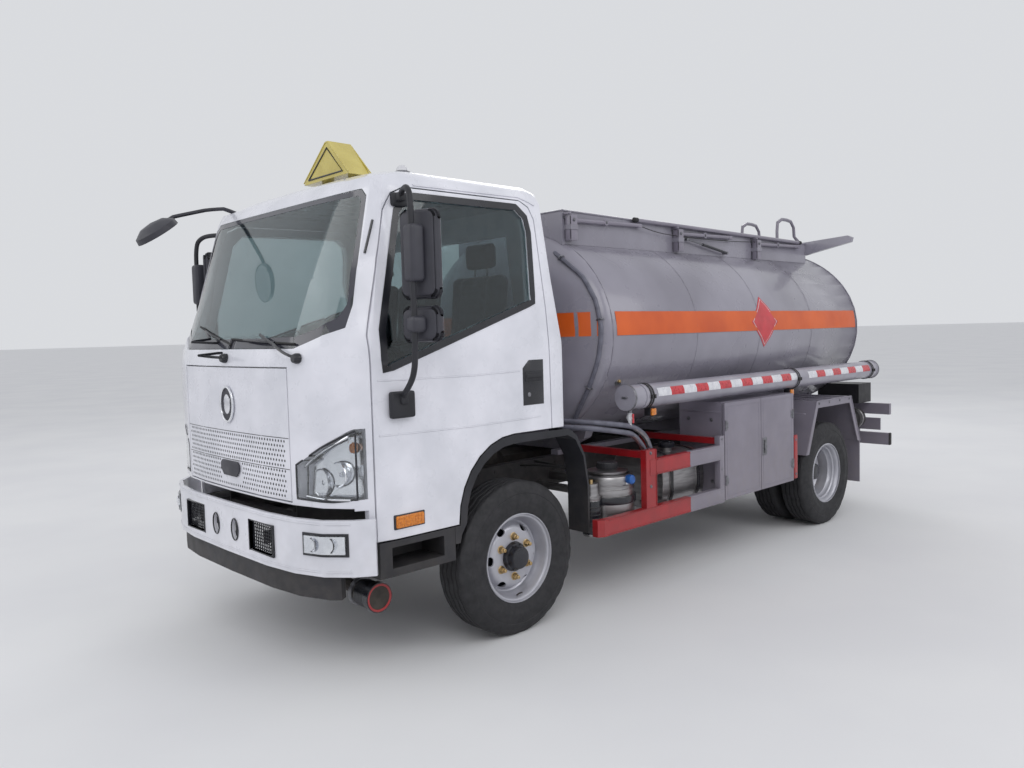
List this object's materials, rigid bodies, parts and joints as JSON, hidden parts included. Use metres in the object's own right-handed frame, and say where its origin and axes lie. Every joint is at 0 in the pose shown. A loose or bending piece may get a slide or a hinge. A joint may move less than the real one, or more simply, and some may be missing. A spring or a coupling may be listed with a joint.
{
  "type": "tanker truck",
  "caption": "Light rigid fuel tanker truck with a tilting cab, elliptical tank, walkway, side tool lockers and twin rear wheels.",
  "frame": {"origin": "on the road under the middle of the truck's box", "axes": "front at -Y, the truck's left at +X, up +Z"},
  "size_m": [2.38, 5.7366, 2.64],
  "materials": {
    "cab_paint": "gloss cab enamel",
    "tank_paint": "semi-gloss grey tank enamel",
    "guard_paint": "satin grey enamel",
    "stripe_orange": "orange stripe film",
    "guard_red": "red enamel",
    "chassis_paint": "black chassis enamel",
    "black_plastic": "grained moulded plastic",
    "cast_iron": "cast, oiled",
    "wheel_silver": "silver wheel enamel",
    "tyre": "moulded rubber",
    "rubber": "moulded sheet",
    "clear_glass": "laminated, clear",
    "lamp_lens": "clear moulded lens",
    "lamp_chrome": "vacuum-plated reflector",
    "lamp_amber": "amber lens",
    "lamp_red": "red lens",
    "sign_yellow": "reflective yellow film",
    "seat_fabric": "woven seat cover",
    "brass": "zinc-passivated, brass-coloured",
    "bare_aluminium": "rolled sheet",
    "mirror_glass": "convex mirror",
    "white_strip": "retroreflective film"
  },
  "bodies": {
    "chassis": {"chassis_frame": "chassis_paint", "front_axle": "chassis_paint", "rear_axle": "chassis_paint", "engine_block": "cast_iron", "propeller_shaft": "cast_iron", "front_bumper": "cab_paint", "lower_bumper": "black_plastic", "exhaust": "cast_iron", "tank": "tank_paint", "walkway_coaming": "tank_paint", "breather_hose": "rubber", "rear_ladder": "guard_paint", "left_hose_tube": "guard_paint", "right_hose_tube": "guard_paint", "left_toolbox": "guard_paint", "right_toolbox": "guard_paint", "left_side_guard": "guard_red", "right_side_guard": "guard_red", "left_rear_fender": "guard_paint", "right_rear_fender": "guard_paint", "rear_underrun": "guard_paint", "rear_cabinet": "chassis_paint", "fuel_tank": "bare_aluminium", "urea_tank": "bare_aluminium", "battery_box": "black_plastic"},
    "cab": {"cab_shell": "cab_paint", "windscreen": "clear_glass", "rear_window": "clear_glass", "dashboard": "black_plastic", "steering_wheel": "black_plastic", "driver_seat": "seat_fabric", "passenger_seat": "seat_fabric", "left_headlamp": "lamp_lens", "right_headlamp": "lamp_lens", "roof_sign": "sign_yellow", "blind_spot_mirror": "black_plastic", "left_arch_and_step": "black_plastic", "right_arch_and_step": "black_plastic"},
    "left_door": {"left_door": "cab_paint", "left_door_glass": "clear_glass", "left_mirrors": "black_plastic"},
    "right_door": {"right_door": "cab_paint", "right_door_glass": "clear_glass", "right_mirrors": "black_plastic"},
    "front_panel": {"front_panel": "cab_paint"},
    "left_knuckle": {"left_knuckle": "cast_iron"},
    "right_knuckle": {"right_knuckle": "cast_iron"},
    "front_left_wheel": {"front_left_wheel": "tyre"},
    "front_right_wheel": {"front_right_wheel": "tyre"},
    "rear_left_wheels": {"rear_left_wheels": "tyre"},
    "rear_right_wheels": {"rear_right_wheels": "tyre"},
    "manhole_lid": {"manhole_lid": "bare_aluminium"},
    "handrail_front_post": {"handrail_front_post": "guard_paint"},
    "handrail_middle_post": {"handrail_middle_post": "guard_paint"},
    "handrail_rear_post": {"handrail_rear_post": "guard_paint"},
    "handrail_rail": {"handrail_rail": "guard_paint"},
    "left_toolbox_front_door": {"left_toolbox_front_door": "guard_paint"},
    "left_toolbox_rear_door": {"left_toolbox_rear_door": "guard_paint"},
    "right_toolbox_front_door": {"right_toolbox_front_door": "guard_paint"},
    "right_toolbox_rear_door": {"right_toolbox_rear_door": "guard_paint"}
  },
  "joints": [
    {"name": "cab_tilt", "type": "hinge", "parent": "chassis", "child": "cab", "pos_m": [0, -2.512, 0.826], "axis": [1, 0, 0], "range_deg": [0, 45]},
    {"name": "left_door_hinge", "type": "hinge", "parent": "cab", "child": "left_door", "pos_m": [0.926, -2.434, 1], "axis": [0, 0, -1], "range_deg": [0, 70]},
    {"name": "right_door_hinge", "type": "hinge", "parent": "cab", "child": "right_door", "pos_m": [-0.926, -2.434, 1], "axis": [0, 0, 1], "range_deg": [0, 70]},
    {"name": "front_panel_hinge", "type": "hinge", "parent": "cab", "child": "front_panel", "pos_m": [0, -2.688, 1.44], "axis": [-1, 0, 0], "range_deg": [0, 70]},
    {"name": "left_steering", "type": "hinge", "parent": "chassis", "child": "left_knuckle", "pos_m": [0.69, -1.572, 0.402], "axis": [0, 0, 1], "range_deg": [-35, 35]},
    {"name": "right_steering", "type": "hinge", "parent": "chassis", "child": "right_knuckle", "pos_m": [-0.69, -1.572, 0.402], "axis": [0, 0, 1], "range_deg": [-35, 35]},
    {"name": "front_left_spin", "type": "hinge", "parent": "left_knuckle", "child": "front_left_wheel", "pos_m": [0.847, -1.572, 0.402], "axis": [1, 0, 0], "continuous": true},
    {"name": "front_right_spin", "type": "hinge", "parent": "right_knuckle", "child": "front_right_wheel", "pos_m": [-0.847, -1.572, 0.402], "axis": [1, 0, 0], "continuous": true},
    {"name": "rear_left_spin", "type": "hinge", "parent": "chassis", "child": "rear_left_wheels", "pos_m": [0.8, 1.728, 0.402], "axis": [1, 0, 0], "continuous": true},
    {"name": "rear_right_spin", "type": "hinge", "parent": "chassis", "child": "rear_right_wheels", "pos_m": [-0.8, 1.728, 0.402], "axis": [1, 0, 0], "continuous": true},
    {"name": "manhole_hinge", "type": "hinge", "parent": "chassis", "child": "manhole_lid", "pos_m": [0, 0.578, 2.301], "axis": [1, 0, 0], "range_deg": [0, 110]},
    {"name": "handrail_fold", "type": "hinge", "parent": "chassis", "child": "handrail_front_post", "pos_m": [0.526, -0.667, 2.262], "axis": [1, 0, 0], "range_deg": [0, 88]},
    {"name": "handrail_middle_fold", "type": "hinge", "parent": "chassis", "child": "handrail_middle_post", "pos_m": [0.526, 0.465, 2.248], "axis": [1, 0, 0], "range_deg": [0, 88]},
    {"name": "handrail_rear_fold", "type": "hinge", "parent": "chassis", "child": "handrail_rear_post", "pos_m": [0.526, 1.538, 2.234], "axis": [1, 0, 0], "range_deg": [0, 88]},
    {"name": "handrail_rail_fold", "type": "hinge", "parent": "handrail_front_post", "child": "handrail_rail", "pos_m": [0.526, 0.023, 2.276], "axis": [1, 0, 0], "range_deg": [-88, 0]},
    {"name": "left_toolbox_front_hinge", "type": "hinge", "parent": "chassis", "child": "left_toolbox_front_door", "pos_m": [1.04, 0.229, 0.75], "axis": [0, 0, -1], "range_deg": [0, 110]},
    {"name": "left_toolbox_rear_hinge", "type": "hinge", "parent": "chassis", "child": "left_toolbox_rear_door", "pos_m": [1.04, 1.152, 0.75], "axis": [0, 0, 1], "range_deg": [0, 110]},
    {"name": "right_toolbox_front_hinge", "type": "hinge", "parent": "chassis", "child": "right_toolbox_front_door", "pos_m": [-1.04, 0.229, 0.75], "axis": [0, 0, 1], "range_deg": [0, 110]},
    {"name": "right_toolbox_rear_hinge", "type": "hinge", "parent": "chassis", "child": "right_toolbox_rear_door", "pos_m": [-1.04, 1.152, 0.75], "axis": [0, 0, -1], "range_deg": [0, 110]}
  ],
  "couplings": [
    {"joint": "right_steering", "follows": "left_steering", "ratio": 1},
    {"joint": "handrail_middle_fold", "follows": "handrail_fold", "ratio": 1},
    {"joint": "handrail_rear_fold", "follows": "handrail_fold", "ratio": 1},
    {"joint": "handrail_rail_fold", "follows": "handrail_fold", "ratio": -1}
  ]
}
